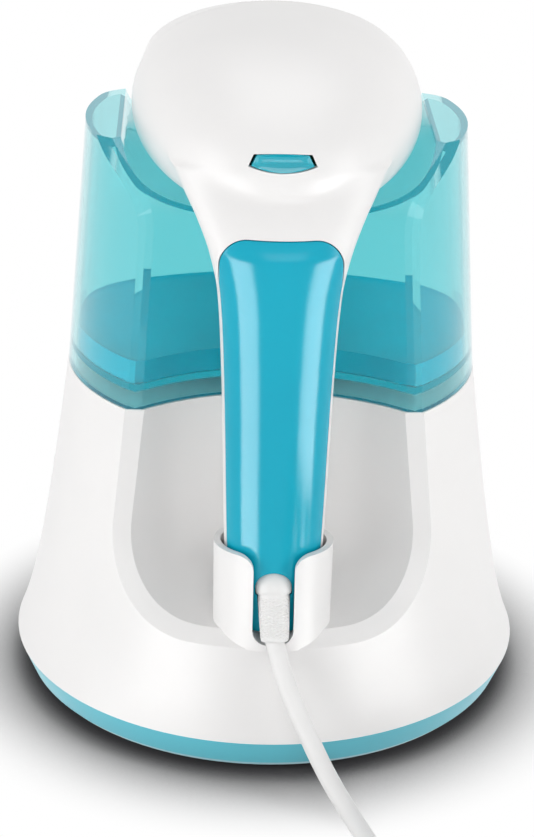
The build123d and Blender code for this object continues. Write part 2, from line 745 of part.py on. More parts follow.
least = min(
    (samples[i] - samples[j]).length
    for i in range(0, 1201, 2)
    for j in range(i + apart, 1201)
)
print("coil least gap to itself", round(least - lead_diameter, 2))

# Tie round the coil's turns, on the side away from the stand
turn_reach = coil_outer_radius + coil_pitch / 2 + lead_diameter / 2 + tie_gap
tie_far = coil_y - turn_reach
tie_near = coil_y - climb_radius - coil_pitch / 2 + lead_diameter / 2 + 3 * tie_gap
tie_top = layer_high + lead_diameter / 2 + tie_gap
tie_low = coil_lift - tie_thickness
tie_x = coil_x + coil_pitch / 2
tie_outer = box(
    tie_x - tie_width / 2, tie_x + tie_width / 2, tie_far - tie_thickness, tie_near + tie_thickness,
    tie_low, tie_top + tie_thickness,
)
tie_inner = box(tie_x - tie_width, tie_x + tie_width, tie_far, tie_near, tie_low + tie_thickness, tie_top)
save("coil_tie", tie_outer - tie_inner)

# Two-pin plug lying beside the coil
plug_start = coil_end + end_run
plug_height = 2 * layer_high - 0.2
neck_length = 15.0
neck_cone = Cone(lead_diameter / 2 + 1.2, 7.0, neck_length)
neck = Plane(origin=plug_start, z_dir=(0, 1, 0)) * Pos(0, 0, neck_length / 2) * neck_cone
body_low_y = plug_start.Y + neck_length - 1
plug_body = box(
    plug_start.X - plug_width / 2, plug_start.X + plug_width / 2, body_low_y, body_low_y + plug_length,
    layer_high - plug_height / 2, layer_high + plug_height / 2,
)
plug_body = fillet(plug_body.edges().filter_by(Axis.Y), 7.0)
plug_body = fillet(plug_body.edges().group_by(Axis.Y)[0], 5.0)
save("mains_plug", plug_body + neck)
pin_y = body_low_y + plug_length + plug_pin_length / 2
pin_places = [(plug_start.X + s * plug_pin_spacing / 2, pin_y, layer_high) for s in (-1, 1)]
pins = [rod("y", place, plug_pin_length, plug_pin_radius) for place in pin_places]
save("plug_pins", Compound(children=pins))
print("nodes", len(os.listdir("parts")))
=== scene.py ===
import math

import bmesh
import bpy
import numpy as np
from mathutils import Matrix, Vector


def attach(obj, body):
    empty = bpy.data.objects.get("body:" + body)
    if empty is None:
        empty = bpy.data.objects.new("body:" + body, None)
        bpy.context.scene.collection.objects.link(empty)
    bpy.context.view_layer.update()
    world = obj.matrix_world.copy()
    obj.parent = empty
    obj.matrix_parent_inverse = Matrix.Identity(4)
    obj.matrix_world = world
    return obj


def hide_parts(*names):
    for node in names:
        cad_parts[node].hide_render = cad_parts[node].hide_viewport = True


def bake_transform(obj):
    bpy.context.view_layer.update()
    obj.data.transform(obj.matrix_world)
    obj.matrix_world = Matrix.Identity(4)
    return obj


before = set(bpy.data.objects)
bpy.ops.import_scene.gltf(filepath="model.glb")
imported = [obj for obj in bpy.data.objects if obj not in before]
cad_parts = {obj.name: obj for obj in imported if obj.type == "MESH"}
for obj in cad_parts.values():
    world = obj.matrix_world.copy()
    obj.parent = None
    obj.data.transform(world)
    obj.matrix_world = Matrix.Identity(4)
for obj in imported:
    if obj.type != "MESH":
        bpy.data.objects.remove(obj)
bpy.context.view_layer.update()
scene = bpy.context.scene
scene.view_settings.view_transform = "Standard"
mm = 0.001  # sizes of pieces are written in mm, those of the stage in metres
print("frame loaded with", len(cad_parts), "nodes")

cameraSet = {
    "azimuth": -2.0, "elevation": 23.87, "roll": 1.4,
    "target": (-0.0008, 0.0, 0.092), "distance": 0.840, "lens": 101.94, "sensor": 36.0, "clip": (0.01, 20.0),
}


def placeCamera(s):
    az, el, ro = (math.radians(s[k]) for k in ("azimuth", "elevation", "roll"))
    back = Vector((math.sin(az) * math.cos(el), -math.cos(az) * math.cos(el), math.sin(el)))
    right = (-back).cross(Vector((0, 0, 1))).normalized()
    up = right.cross(-back)
    across = right * math.cos(ro) + up * math.sin(ro)
    above = up * math.cos(ro) - right * math.sin(ro)
    data = bpy.data.cameras.new("camera")
    data.lens, data.sensor_width = s["lens"], s["sensor"]
    data.clip_start, data.clip_end = s["clip"]
    camera = bpy.data.objects.new("camera", data)
    turn = Matrix((across, above, back)).transposed().to_4x4()
    camera.matrix_world = Matrix.Translation(Vector(s["target"]) + back * s["distance"]) @ turn
    scene.collection.objects.link(camera)
    scene.camera = camera


placeCamera(cameraSet)
print("camera placed")


# mesh helpers
def addMesh(name, verts, faces, smooth=True):
    mesh = bpy.data.meshes.new(name)
    mesh.from_pydata([tuple(v) for v in verts], [], [tuple(f) for f in faces])
    mesh.validate()
    obj = bpy.data.objects.new(name, mesh)
    scene.collection.objects.link(obj)
    if smooth:
        mesh.polygons.foreach_set("use_smooth", [True] * len(mesh.polygons))
    return obj


def gridFaces(rows, cols, wrap=True):
    last = cols if wrap else cols - 1
    return [
        (r * cols + c, r * cols + (c + 1) % cols, (r + 1) * cols + (c + 1) % cols, (r + 1) * cols + c)
        for r in range(rows - 1) for c in range(last)
    ]


def bakeModifiers(obj):
    graph = bpy.context.evaluated_depsgraph_get()
    made = bpy.data.meshes.new_from_object(obj.evaluated_get(graph))
    obj.modifiers.clear()
    old, obj.data = obj.data, made
    bpy.data.meshes.remove(old)
    return obj


def cutBy(obj, tool, operation="DIFFERENCE"):
    step = obj.modifiers.new("cut", "BOOLEAN")
    step.operation, step.solver, step.object = operation, "EXACT", tool
    bakeModifiers(obj)
    bpy.data.objects.remove(tool)
    return obj


def creaseEdges(obj, angle=50):
    obj.data.set_sharp_from_angle(angle=math.radians(angle))
    return obj


def softenEdges(obj, width, angle=38):
    step = obj.modifiers.new("edge", "BEVEL")
    step.width, step.segments, step.limit_method = width, 2, "ANGLE"
    step.angle_limit = math.radians(angle)
    bakeModifiers(obj)
    obj.data.polygons.foreach_set("use_smooth", [True] * len(obj.data.polygons))
    return creaseEdges(obj, angle)


def endCaps(rows, cols):
    return [tuple(range(cols - 1, -1, -1)), tuple(range((rows - 1) * cols, rows * cols))]


def prismTool(outline, y0, y1):
    n = len(outline)
    verts = [(x, y, z) for y in (y0, y1) for x, z in outline]
    return addMesh("tool", verts, gridFaces(2, n) + endCaps(2, n), False)


def boxTool(low, high):
    (x0, y0, z0), (x1, y1, z1) = low, high
    return prismTool([(x0, z0), (x1, z0), (x1, z1), (x0, z1)], y0, y1)


def rodTool(start, end, r, sides=48):
    start, end = Vector(start), Vector(end)
    turn = (end - start).to_track_quat("Z", "Y")
    verts = []
    for centre in (start, end):
        for k in range(sides):
            a = 2 * math.pi * k / sides
            verts.append(centre + turn @ Vector((r * math.cos(a), r * math.sin(a), 0)))
    return addMesh("tool", verts, gridFaces(2, sides) + endCaps(2, sides), False)


def ballTool(centre, r, rows=24, cols=48):
    verts = []
    for j in range(1, rows):
        a = math.pi * j / rows
        for k in range(cols):
            b = 2 * math.pi * k / cols
            spot = Vector((math.sin(a) * math.cos(b), math.sin(a) * math.sin(b), math.cos(a)))
            verts.append(Vector(centre) + spot * r)
    poles = [tuple(range(cols)), tuple(range((rows - 2) * cols, (rows - 1) * cols))]
    return addMesh("tool", verts, gridFaces(rows - 1, cols) + poles, False)


def faceOut(obj):
    work = bmesh.new()
    work.from_mesh(obj.data)
    bmesh.ops.recalc_face_normals(work, faces=work.faces)
    work.to_mesh(obj.data)
    work.free()
    return obj


# finishes
def addNode(tree, kind, **sockets):
    node = tree.nodes.new(kind)
    for name, value in sockets.items():
        node.inputs[name.replace("_", " ")].default_value = value
    return node


skinSet = {"broad": 16.0, "smear": 65.0, "tintFrom": 0.42, "tintTo": 0.68, "smearMiddle": 0.5, "relief": 0.0004}


def makeSkinGroup(s):
    # moulded plastic: a faint drift of tint, smudged gloss and a fine grain
    tree = bpy.data.node_groups.new("mouldedSkin", "ShaderNodeTree")
    tone, number = "NodeSocketColor", "NodeSocketFloat"
    for name, kind in (("Colour", tone), ("Tint", tone), ("Grain", number), ("Gloss", number), ("Smudge", number)):
        tree.interface.new_socket(name, in_out="INPUT", socket_type=kind)
    for name, kind in (("Colour", tone), ("Roughness", number), ("Height", number)):
        tree.interface.new_socket(name, in_out="OUTPUT", socket_type=kind)
    given, made = tree.nodes.new("NodeGroupInput"), tree.nodes.new("NodeGroupOutput")
    place = tree.nodes.new("ShaderNodeTexCoord")
    broad = addNode(tree, "ShaderNodeTexNoise", Scale=s["broad"], Detail=3.0, Roughness=0.5)
    smear = addNode(tree, "ShaderNodeTexNoise", Scale=s["smear"], Detail=4.0, Roughness=0.6)
    grain = addNode(tree, "ShaderNodeTexNoise", Detail=2.0)
    for noise in (broad, smear, grain):
        tree.links.new(place.outputs["Object"], noise.inputs["Vector"])
    tree.links.new(given.outputs["Grain"], grain.inputs["Scale"])
    share = addNode(tree, "ShaderNodeMapRange", From_Min=s["tintFrom"], From_Max=s["tintTo"])
    tree.links.new(broad.outputs["Fac"], share.inputs["Value"])
    mix = tree.nodes.new("ShaderNodeMix")
    mix.data_type = "RGBA"
    tree.links.new(share.outputs["Result"], mix.inputs["Factor"])
    tree.links.new(given.outputs["Colour"], mix.inputs["A"])
    tree.links.new(given.outputs["Tint"], mix.inputs["B"])
    tree.links.new(mix.outputs["Result"], made.inputs["Colour"])
    off = tree.nodes.new("ShaderNodeMath")
    off.operation = "SUBTRACT"
    off.inputs[1].default_value = s["smearMiddle"]
    tree.links.new(smear.outputs["Fac"], off.inputs[0])
    gloss = tree.nodes.new("ShaderNodeMath")
    gloss.operation = "MULTIPLY_ADD"
    tree.links.new(off.outputs[0], gloss.inputs[0])
    tree.links.new(given.outputs["Smudge"], gloss.inputs[1])
    tree.links.new(given.outputs["Gloss"], gloss.inputs[2])
    tree.links.new(gloss.outputs[0], made.inputs["Roughness"])
    tree.links.new(grain.outputs["Fac"], made.inputs["Height"])
    return tree


skinGroup = makeSkinGroup(skinSet)


def makeFinish(name, colour, tint, gloss, smudge=0.08, grain=900.0, bump=0.02, metal=0.0, coat=0.0, **sockets):
    material = bpy.data.materials.new(name)
    material.use_nodes = True
    tree = material.node_tree
    shader = tree.nodes["Principled BSDF"]
    skin = tree.nodes.new("ShaderNodeGroup")
    skin.node_tree = skinGroup
    skin.inputs["Colour"].default_value = (*colour, 1.0)
    skin.inputs["Tint"].default_value = (*tint, 1.0)
    skin.inputs["Grain"].default_value = grain
    skin.inputs["Gloss"].default_value = gloss
    skin.inputs["Smudge"].default_value = smudge
    relief = addNode(tree, "ShaderNodeBump", Strength=bump, Distance=skinSet["relief"])
    tree.links.new(skin.outputs["Colour"], shader.inputs["Base Color"])
    tree.links.new(skin.outputs["Roughness"], shader.inputs["Roughness"])
    tree.links.new(skin.outputs["Height"], relief.inputs["Height"])
    tree.links.new(relief.outputs["Normal"], shader.inputs["Normal"])
    shader.inputs["Metallic"].default_value = metal
    shader.inputs["Coat Weight"].default_value = coat
    for key, value in sockets.items():
        shader.inputs[key.replace("_", " ")].default_value = value
    return material


def paintBounceShade(material, colour):
    # to light that bounces off it the piece shows a plain dark grey instead of its own colour, so the floor round
    # it keeps a darker, neutral painted shade
    tree = material.node_tree
    shader, out = tree.nodes["Principled BSDF"], tree.nodes["Material Output"]
    path = tree.nodes.new("ShaderNodeLightPath")
    plain = addNode(tree, "ShaderNodeBsdfDiffuse", Color=(*colour, 1.0))
    mix = tree.nodes.new("ShaderNodeMixShader")
    tree.links.new(path.outputs["Is Diffuse Ray"], mix.inputs[0])
    tree.links.new(shader.outputs[0], mix.inputs[1])
    tree.links.new(plain.outputs[0], mix.inputs[2])
    tree.links.new(mix.outputs[0], out.inputs["Surface"])


clearSet = {"smudge": 0.03, "grain": 500.0, "bump": 0.01, "coat": 0.8, "coatGloss": 0.04, "coatIor": 1.5,
            "caughtAfter": 1.5}


def makeClear(name, colour, tint, gloss, ior, shade, paintedWallGlow, clear=1.0, s=clearSet):
    # tinted clear moulding: a shadow ray passes lightly tinted,
    # and where a ray is caught inside the wall the surface shows a painted glow, an even deep teal emission in
    # place of that light
    material = makeFinish(name, colour, tint, gloss, s["smudge"], s["grain"], s["bump"], coat=s["coat"],
                          Coat_Roughness=s["coatGloss"], Coat_IOR=s["coatIor"])
    tree = material.node_tree
    shader, out = tree.nodes["Principled BSDF"], tree.nodes["Material Output"]
    shader.inputs["Transmission Weight"].default_value = clear
    shader.inputs["IOR"].default_value = ior
    path = tree.nodes.new("ShaderNodeLightPath")
    through = addNode(tree, "ShaderNodeBsdfTransparent", Color=(*shade, 1.0))
    mix = tree.nodes.new("ShaderNodeMixShader")
    tree.links.new(path.outputs["Is Shadow Ray"], mix.inputs[0])
    tree.links.new(shader.outputs[0], mix.inputs[1])
    tree.links.new(through.outputs[0], mix.inputs[2])
    # painted glow: this emission paints the wall's edges deep teal where light is caught in them
    paintedGlow = addNode(tree, "ShaderNodeEmission", Color=(*paintedWallGlow, 1.0), Strength=1.0)
    caught = tree.nodes.new("ShaderNodeMath")
    caught.operation = "GREATER_THAN"
    caught.inputs[1].default_value = s["caughtAfter"]
    last = tree.nodes.new("ShaderNodeMixShader")
    tree.links.new(path.outputs["Glossy Depth"], caught.inputs[0])
    tree.links.new(caught.outputs[0], last.inputs[0])
    tree.links.new(mix.outputs[0], last.inputs[1])
    tree.links.new(paintedGlow.outputs[0], last.inputs[2])
    tree.links.new(last.outputs[0], out.inputs["Surface"])
    return material


finishes = {
    "white": makeFinish("whiteGloss", (0.80, 0.79, 0.785), (0.78, 0.772, 0.768), 0.36, 0.04, 1200, 0.012),
    "grip": makeFinish("gripTeal", (0.002, 0.37, 0.51), (0.002, 0.355, 0.495), 0.20, 0.03, 1500, 0.01,
                       Specular_IOR_Level=0.28),
    "ring": makeFinish("ringTeal", (0.085, 0.54, 0.66), (0.08, 0.52, 0.64), 0.30, 0.05, 1500, 0.03),
    "clear": makeClear("clearTank", (0.40, 0.82, 0.85), (0.38, 0.81, 0.84), 0.05, 1.20,
                       (0.84, 0.85, 0.85), (0.02, 0.36, 0.44)),
    "water": makeClear("tankWater", (0.0, 0.58, 0.72), (0.0, 0.56, 0.70), 0.03, 1.04,
                       (0.82, 0.83, 0.84), (0.0, 0.32, 0.44), 0.25),
    "button": makeFinish("buttonTeal", (0.004, 0.40, 0.50), (0.004, 0.36, 0.46), 0.14, 0.04, 800, 0.01, coat=0.3,
                         Subsurface_Weight=0.15, Subsurface_Radius=(0.001, 0.003, 0.003), Subsurface_Scale=0.4),
    "lead": makeFinish("leadSheath", (0.77, 0.765, 0.76), (0.73, 0.725, 0.72), 0.42, 0.08, 700, 0.05),
    "dark": makeFinish("darkMoulding", (0.035, 0.036, 0.04), (0.045, 0.046, 0.05), 0.5, 0.1, 900, 0.08),
    "pump": makeFinish("pumpMoulding", (0.52, 0.52, 0.49), (0.48, 0.48, 0.46), 0.45, 0.1, 900, 0.06),
    "rubber": makeFinish("footRubber", (0.03, 0.03, 0.03), (0.045, 0.045, 0.045), 0.75, 0.15, 600, 0.15),
    "silicone": makeFinish("sealSilicone", (0.62, 0.62, 0.60), (0.58, 0.58, 0.56), 0.5, 0.08, 700, 0.04),
    "steel": makeFinish("pinSteel", (0.56, 0.56, 0.57), (0.50, 0.50, 0.51), 0.28, 0.12, 700, 0.05, 1.0),
    "plate": makeFinish("plateMetal", (0.70, 0.71, 0.72), (0.66, 0.67, 0.68), 0.22, 0.12, 1100, 0.04, 1.0),
    "pins": makeFinish("plugPinMetal", (0.72, 0.69, 0.60), (0.66, 0.63, 0.55), 0.25, 0.1, 800, 0.03, 1.0),
    "board": makeFinish("lampBoardGreen", (0.03, 0.17, 0.07), (0.03, 0.14, 0.06), 0.4, 0.1, 500, 0.05),
}
# painted shade: a dark grey that the ring shows only to bouncing light, which darkens the floor near it
ringBounceShade = (0.10, 0.12, 0.125)
paintBounceShade(finishes["ring"], ringBounceShade)
nodeFinish = {
    "white": ("stand_shell", "plate_bezel"),
    "ring": ("base_ring", "steam_trigger"),
    "clear": ("tank_shell", "filler_door", "pickup_tube"),
    "dark": ("bottom_plate", "thermal_fuse", "button_switch", "steam_switch", "tank_dock", "water_inlet",
             "lead_clamp", "pickup_filter"),
    "pump": ("water_pump",),
    "rubber": ("rubber_feet",),
    "silicone": ("chamber_gasket", "button_dome", "suction_tube", "delivery_tube", "port_seal", "door_seal"),
    "steel": ("stand_screws", "grip_screws", "heating_element", "thermostat", "trigger_pin", "door_pin"),
    "plate": ("steam_plate", "steam_chamber", "chamber_cover"),
    "lead": ("mains_plug",),
    "pins": ("plug_pins",),
    "board": ("lamp_board",),
}


def dress(obj, finish):
    obj.data.materials.clear()
    obj.data.materials.append(finishes[finish])


for finish, names in nodeFinish.items():
    for name in names:
        dress(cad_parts[name], finish)


def settle(obj, body, finish, slot, *nodes):
    dress(obj, finish)
    if body:
        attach(obj, body)
    if nodes:
        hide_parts(*nodes)
    return obj


print("finishes made:", len(finishes))

# mains lead: the route on the floor, then a wound coil, then the plug
leadSet = {
    "route": ((-0.3, -82.8, 52.5), (0.6, -84.4, 49.0), (4.4, -91.4, 36.6), (11.4, -98.4, 22.6),
              (18.2, -106.6, 11.0), (25.2, -118.6, 4.4), (31.6, -137.0, 3.3), (35.0, -156.0, 3.5),
              (36.0, -177.6, 3.95), (36.0, -190.0, 3.95)),
    "diameter": 6.3, "gap": 0.6, "coilY": -196.3, "coilRadius": 46.5, "halfTurns": 7, "perHalf": 9,
    "lowZ": 3.95, "highZ": 10.85, "tail": 24.0, "tailSteps": (0.25, 0.65, 1.0), "sides": 18, "steps": 5,
    "length": 1.83,
    "exit": (0.6, -84.4, 49.0), "settled": (35.0, -156.0, 3.5),
}


def leadPoints(s):
    points = [Vector(p) for p in s["route"]]
    pitch = s["diameter"] + s["gap"]
    n = s["perHalf"]
    wide = 1 / math.cos(math.pi / (2 * n))  # the spline runs inside its control points
    x, side, radius = points[-1].x, 1, s["coilRadius"]

    def halfTurn(x, side, radius, z0, z1):
        middle = x + radius * side
        for j in range(n):
            a = math.pi * (j + 0.5) / n
            r = radius * wide
            points.append(Vector((middle - side * r * math.cos(a), s["coilY"] - side * r * math.sin(a),
                                  z0 + (z1 - z0) * (j + 0.5) / n)))
        return x + 2 * radius * side

    for k in range(s["halfTurns"]):
        x = halfTurn(x, side, radius, s["lowZ"], s["lowZ"])
        radius, side = radius - pitch / 2, -side
    x = halfTurn(x, side, radius, s["lowZ"], s["highZ"])
    side, radius = -side, radius + pitch / 2
    for k in range(s["halfTurns"]):
        x = halfTurn(x, side, radius, s["highZ"], s["highZ"])
        radius, side = radius + pitch / 2, -side
    for share in s["tailSteps"]:
        points.append(Vector((x, s["coilY"] + s["tail"] * share, s["highZ"])))
    return [p * mm for p in points]


def splineLine(points, steps):
    data = bpy.data.curves.new("route", "CURVE")
    data.dimensions, data.resolution_u = "3D", steps
    spline = data.splines.new("NURBS")
    spline.points.add(len(points) - 1)
    for target, p in zip(spline.points, points):
        target.co = (*p, 1.0)
    spline.order_u = 3
    spline.use_endpoint_u = True
    curve = bpy.data.objects.new("route", data)
    scene.collection.objects.link(curve)
    bpy.context.view_layer.update()
    line = bpy.data.meshes.new_from_object(curve)
    found = [v.co.copy() for v in line.vertices]
    bpy.data.objects.remove(curve)
    return found


def tubeAlong(name, line, radius, sides):
    verts = []
    ahead = (line[1] - line[0]).normalized()
    out = ahead.orthogonal().normalized()
    for k, p in enumerate(line):
        run = (line[min(k + 1, len(line) - 1)] - line[max(k - 1, 0)]).normalized()
        out = (out - run * out.dot(run)).normalized()
        across = run.cross(out)
        for j in range(sides):
            a = 2 * math.pi * j / sides
            verts.append(p + (out * math.cos(a) + across * math.sin(a)) * radius)
    rows = len(line)
    return addMesh(name, verts, gridFaces(rows, sides) + endCaps(rows, sides))


leadLine = splineLine(leadPoints(leadSet), leadSet["steps"])
lead = tubeAlong("mainsLead", leadLine, leadSet["diameter"] / 2 * mm, leadSet["sides"])
settle(lead, None, "lead", "lead_plastic", "mains_lead", "lead_coil")
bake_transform(lead)

# tie: a flat strap round the turns, with rounded corners
tieSet = {
    "x": 85.95, "width": 8.0, "thick": 0.7, "round": 3.2, "chamfer": 0.25,
    "near": -217.2, "far": -249.9, "low": 0.15, "high": 15.0,
}


def roundedLoop(y0, y1, z0, z1, r, per=8):
    loop = []
    corners = ((y1 - r, z1 - r, 0), (y0 + r, z1 - r, 90), (y0 + r, z0 + r, 180), (y1 - r, z0 + r, 270))
    for cy, cz, a0 in corners:
        for k in range(per + 1):
            a = math.radians(a0 + 90 * k / per)
            loop.append((cy + r * math.cos(a), cz + r * math.sin(a)))
    return loop


def makeTie(s):
    low, high = s["low"], s["high"]
    outer = roundedLoop(s["far"], s["near"], low, high, s["round"])
    t = s["thick"]
    inner = roundedLoop(s["far"] + t, s["near"] - t, low + t, high - t, s["round"] - t)
    edge = s["width"] / 2
    side = edge - s["chamfer"]
    rows = [(edge, inner), (side, outer), (0, outer), (-side, outer), (-edge, inner)]
    verts = [Vector((s["x"] + x, y, z)) * mm for x, loop in rows for y, z in loop]
    n = len(outer)
    last = (len(rows) - 1) * n
    faces = gridFaces(len(rows), n)
    faces += [(last + k, last + (k + 1) % n, (k + 1) % n, k) for k in range(n)]
    return faceOut(addMesh("coilTie", verts, faces))


tie = settle(makeTie(tieSet), "stand", "dark", "dark_plastic", "coil_tie")
print("lead laid with", len(leadLine), "points")

# handset: a domed oval head that runs softly into the handle
handsetSet = {
    "dome": (48.8, 73.0, 29.0), "domeAt": (0.0, 5.0, 207.0), "tilt": 6.0, "under": (50.6, 21.6),
    "split": 22.0, "pastSplit": 1.0, "foot": 49.4,
    "rows": (  # height, half width, half depth, middle
        (49.4, 15.4, 11.4, -67.0), (83.0, 16.6, 12.0, -67.0), (140.0, 18.3, 12.8, -67.0),
        (165.0, 19.8, 13.0, -67.0), (179.0, 22.8, 13.6, -65.6), (188.0, 26.8, 14.2, -59.6),
        (194.0, 30.4, 15.0, -53.6), (202.0, 35.0, 16.0, -46.0),
    ),
    "crease": 2.2, "lip": 2.5, "wall": 2.2, "edge": 0.28, "bendZ": 178.0, "bendRadius": 25.0,
    "around": 160, "alongHandle": 46, "alongBend": 51, "alongHead": 32,
}
tiny = 1e-9  # keeps a division safe at the middle of an oval


def steadyTable(rows, count=400):
    # the same even cubic as the handle's sections in the part
    z = np.array([r[0] for r in rows])
    fine = np.linspace(z[0], z[-1], count)
    out = []
    for col in (1, 2, 3):
        v = np.array([r[col] for r in rows])
        step = np.diff(v) / np.diff(z)
        inner = [2 * a * b / (a + b) if a * b > 0 else 0.0 for a, b in zip(step, step[1:])]
        slope = np.array([step[0]] + inner + [step[-1]])
        k = np.clip(np.searchsorted(z, fine, "right") - 1, 0, len(z) - 2)
        span = z[k + 1] - z[k]
        t = (fine - z[k]) / span
        m0, m1 = slope[k] * span, slope[k + 1] * span
        e = 3 * t ** 2 - 2 * t ** 3
        out.append(v[k] * (1 - e) + v[k + 1] * e + (t ** 3 - 2 * t ** 2 + t) * m0 + (t ** 3 - t ** 2) * m1)
    return fine, out


handleZ, handleCols = steadyTable(handsetSet["rows"])


def ovalGap(a, b, ra, rb):
    k0, k1 = np.hypot(a / ra, b / rb), np.hypot(a / ra ** 2, b / rb ** 2)
    return k0 * (k0 - 1) / np.maximum(k1, tiny)


def softMin(a, b, k):
    h = np.clip(0.5 + 0.5 * (b - a) / k, 0, 1)
    return b * (1 - h) + a * h - k * h * (1 - h)


def handsetGap(p, s=handsetSet):
    # how far a place lies outside the head and handle, less than 0 inside
    x, y, z = p[..., 0], p[..., 1], p[..., 2]
    rx, ry, rz = s["dome"]
    dy, dz = y - s["domeAt"][1], z - s["domeAt"][2]
    c, n = math.cos(math.radians(s["tilt"])), math.sin(math.radians(s["tilt"]))
    along, above = dy * c + dz * n, dz * c - dy * n
    k0 = np.sqrt((x / rx) ** 2 + (along / ry) ** 2 + (above / rz) ** 2)
    k1 = np.sqrt((x / rx ** 2) ** 2 + (along / ry ** 2) ** 2 + (above / rz ** 2) ** 2)
    dome = k0 * (k0 - 1) / np.maximum(k1, tiny)
    under = np.where(dz < 0, ovalGap(x, dz, *s["under"]), np.abs(x) - s["under"][0])
    head = -softMin(-dome, -under, s["lip"])
    wide, paintedWallGlow, middle = (np.interp(z, handleZ, col) for col in handleCols)
    handle = np.maximum(ovalGap(x, y - middle, wide, paintedWallGlow), z - s["rows"][-1][0])
    return softMin(head, handle, s["crease"])


def domeSkin(x, z, s=handsetSet):
    # where the head's rear skin lies at a place across and up
    (rx, ry, rz), (cy, cz) = s["dome"], s["domeAt"][1:]
    c, n, up = math.cos(math.radians(s["tilt"])), math.sin(math.radians(s["tilt"])), z - cz
    a = (c / ry) ** 2 + (n / rz) ** 2
    b = 2 * up * c * n * (1 / ry ** 2 - 1 / rz ** 2)
    rest = (up * n / ry) ** 2 + (up * c / rz) ** 2 + (x / rx) ** 2 - 1
    return cy + (-b - math.sqrt(max(0.0, b * b - 4 * a * rest))) / (2 * a)


def walkRays(start, rays, gap, level=0.0, far=80.0, step=1.2, halvings=16):
    # walks along each ray to the surface, then closes in on it
    t = np.zeros(rays.shape[:-1])
    live = np.ones_like(t, bool)
    for k in range(int(far / step)):
        live &= gap(start + rays * (t + step)[..., None]) < -level
        t = np.where(live, t + step, t)
    low, high = t, t + step
    for k in range(halvings):
        mid = (low + high) / 2
        inside = gap(start + rays * mid[..., None]) < -level
        low, high = np.where(inside, mid, low), np.where(inside, high, mid)
    return start + rays * low[..., None]


def reachOut(centres, outward, level, gap, around):
    # a ring of rays round each place on the spine
    a = 2 * math.pi * np.arange(around) / around
    across = np.array((1.0, 0.0, 0.0))
    rays = np.cos(a)[None, :, None] * across + np.sin(a)[None, :, None] * outward[:, None, :]
    return walkRays(centres[:, None, :], rays, gap, level)


def handsetForm(name, inset, foot, front, s=handsetSet):
    # the spine goes up the handle, round the bend and forward through the head
    bendZ, radius = s["bendZ"], s["bendRadius"]
    centres, outward = [], []
    for z in np.linspace(foot, bendZ, s["alongHandle"]):
        centres.append((0, float(np.interp(z, handleZ, handleCols[2])), z))
        outward.append((0, -1, 0))
    hubY = centres[-1][1] + radius
    for k in range(1, s["alongBend"] + 1):
        a = math.pi - math.pi / 2 * k / s["alongBend"]
        out = (0, math.cos(a), math.sin(a))
        centres.append((0, hubY + radius * out[1], bendZ + radius * out[2]))
        outward.append(out)
    topZ = bendZ + radius
    for k in range(1, s["alongHead"] + 1):
        y = hubY + (front - hubY) * k / s["alongHead"]
        centres.append((0, y, topZ + (s["domeAt"][2] - topZ) * k / s["alongHead"]))
        outward.append((0, 0, 1))
    found = reachOut(np.array(centres), np.array(outward), inset, handsetGap, s["around"])
    rows, cols = found.shape[:2]
    return faceOut(addMesh(name, found.reshape(-1, 3) * mm, gridFaces(rows, cols) + endCaps(rows, cols)))


def hollowForm(name, s=handsetSet):
    form = handsetForm(name, 0.0, s["foot"], s["split"])
    return cutBy(form, handsetForm("inner", s["wall"], s["foot"] + s["wall"], s["split"] + s["pastSplit"]))


gripSet = {
    "half": 19.4, "low": 49.4, "high": 185.1, "corner": 9.0, "perCorner": 12,
    "split": -71.0, "rear": -120.0, "gap": 0.35, "edge": 0.6,
}


def gripTool(s, grow):
    # the block behind the handle's split that the grip cover fills
    half, low, high, corner = s["half"] + grow, s["low"] - grow, s["high"] + grow, s["corner"] + grow
    line = [(-half, low), (half, low)]
    for cx, a0 in ((half - corner, 0), (corner - half, 90)):
        for k in range(s["perCorner"] + 1):
            a = math.radians(a0 + 90 * k / s["perCorner"])
            line.append((cx + corner * math.cos(a), high - corner + corner * math.sin(a)))
    return prismTool([(x * mm, z * mm) for x, z in line], s["rear"] * mm, (s["split"] + grow) * mm)


buttonSet = {
    "at": (0.0, -65.6, 207.2), "top": (8.7, 2.6, 0.5), "bottom": (10.4, -2.7, 1.6), "across": 40, "up": 22,
    "gap": 0.05, "endGap": 0.6, "dish": 2.5, "dishPower": 0.6, "proud": 0.15, "depth": 5.0,
    "rim": 0.275, "rimAt": 0.45, "roll": 0.5, "edgePower": 6,
    "pocket": (0.15, 0.45), "pocketY": (-90.0, -57.0),
}


def barrelPoint(u, v, s, grow=0.0, endGrow=0.0):
    # u across and v up, from -1 to 1, over the barrel-shaped opening
    topX, topZ, topDrop = s["top"]
    lowX, lowZ, lowRise = s["bottom"]
    share = (v + 1) / 2
    x = u * (lowX * (1 - share) + topX * share + endGrow)
    top, low = topZ - topDrop * u * u + grow, lowZ + lowRise * u * u - grow
    return x, low + (top - low) * share


def barrelOutline(s, grow, endGrow, n=24):
    line = [barrelPoint(-1 + 2 * k / n, -1, s, grow, endGrow) for k in range(n + 1)]
    line += [barrelPoint(1 - 2 * k / n, 1, s, grow, endGrow) for k in range(n + 1)]
    return line


reliefSet = {
    "start": (0.0, -77.0, 65.5), "end": (0.6, -84.4, 49.0), "collar": 6.0, "sleeve": 5.2, "tip": 4.6, "bore": 3.3,
    "waist": ((1.2, 5.95), (2.0, 5.7), (2.5, 5.1)), "sleeveAt": 2.9, "roll": 1.0, "rollIn": 0.9,
    "boreFrom": 0.2, "boreTo": 3.0, "perDome": 14, "perRoll": 8, "around": 120, "along": 96,
    "turns": 13, "pitch": 15.0, "hatch": 0.30, "hatchPower": 0.7, "hatchFade": 0.06,
    "collarGap": 0.12, "sleeveGap": 0.3, "collarRoom": 2.4, "pastEnd": 6.0,
}
reliefStart, reliefEnd = Vector(reliefSet["start"]), Vector(reliefSet["end"])
reliefRun = (reliefEnd - reliefStart).normalized()


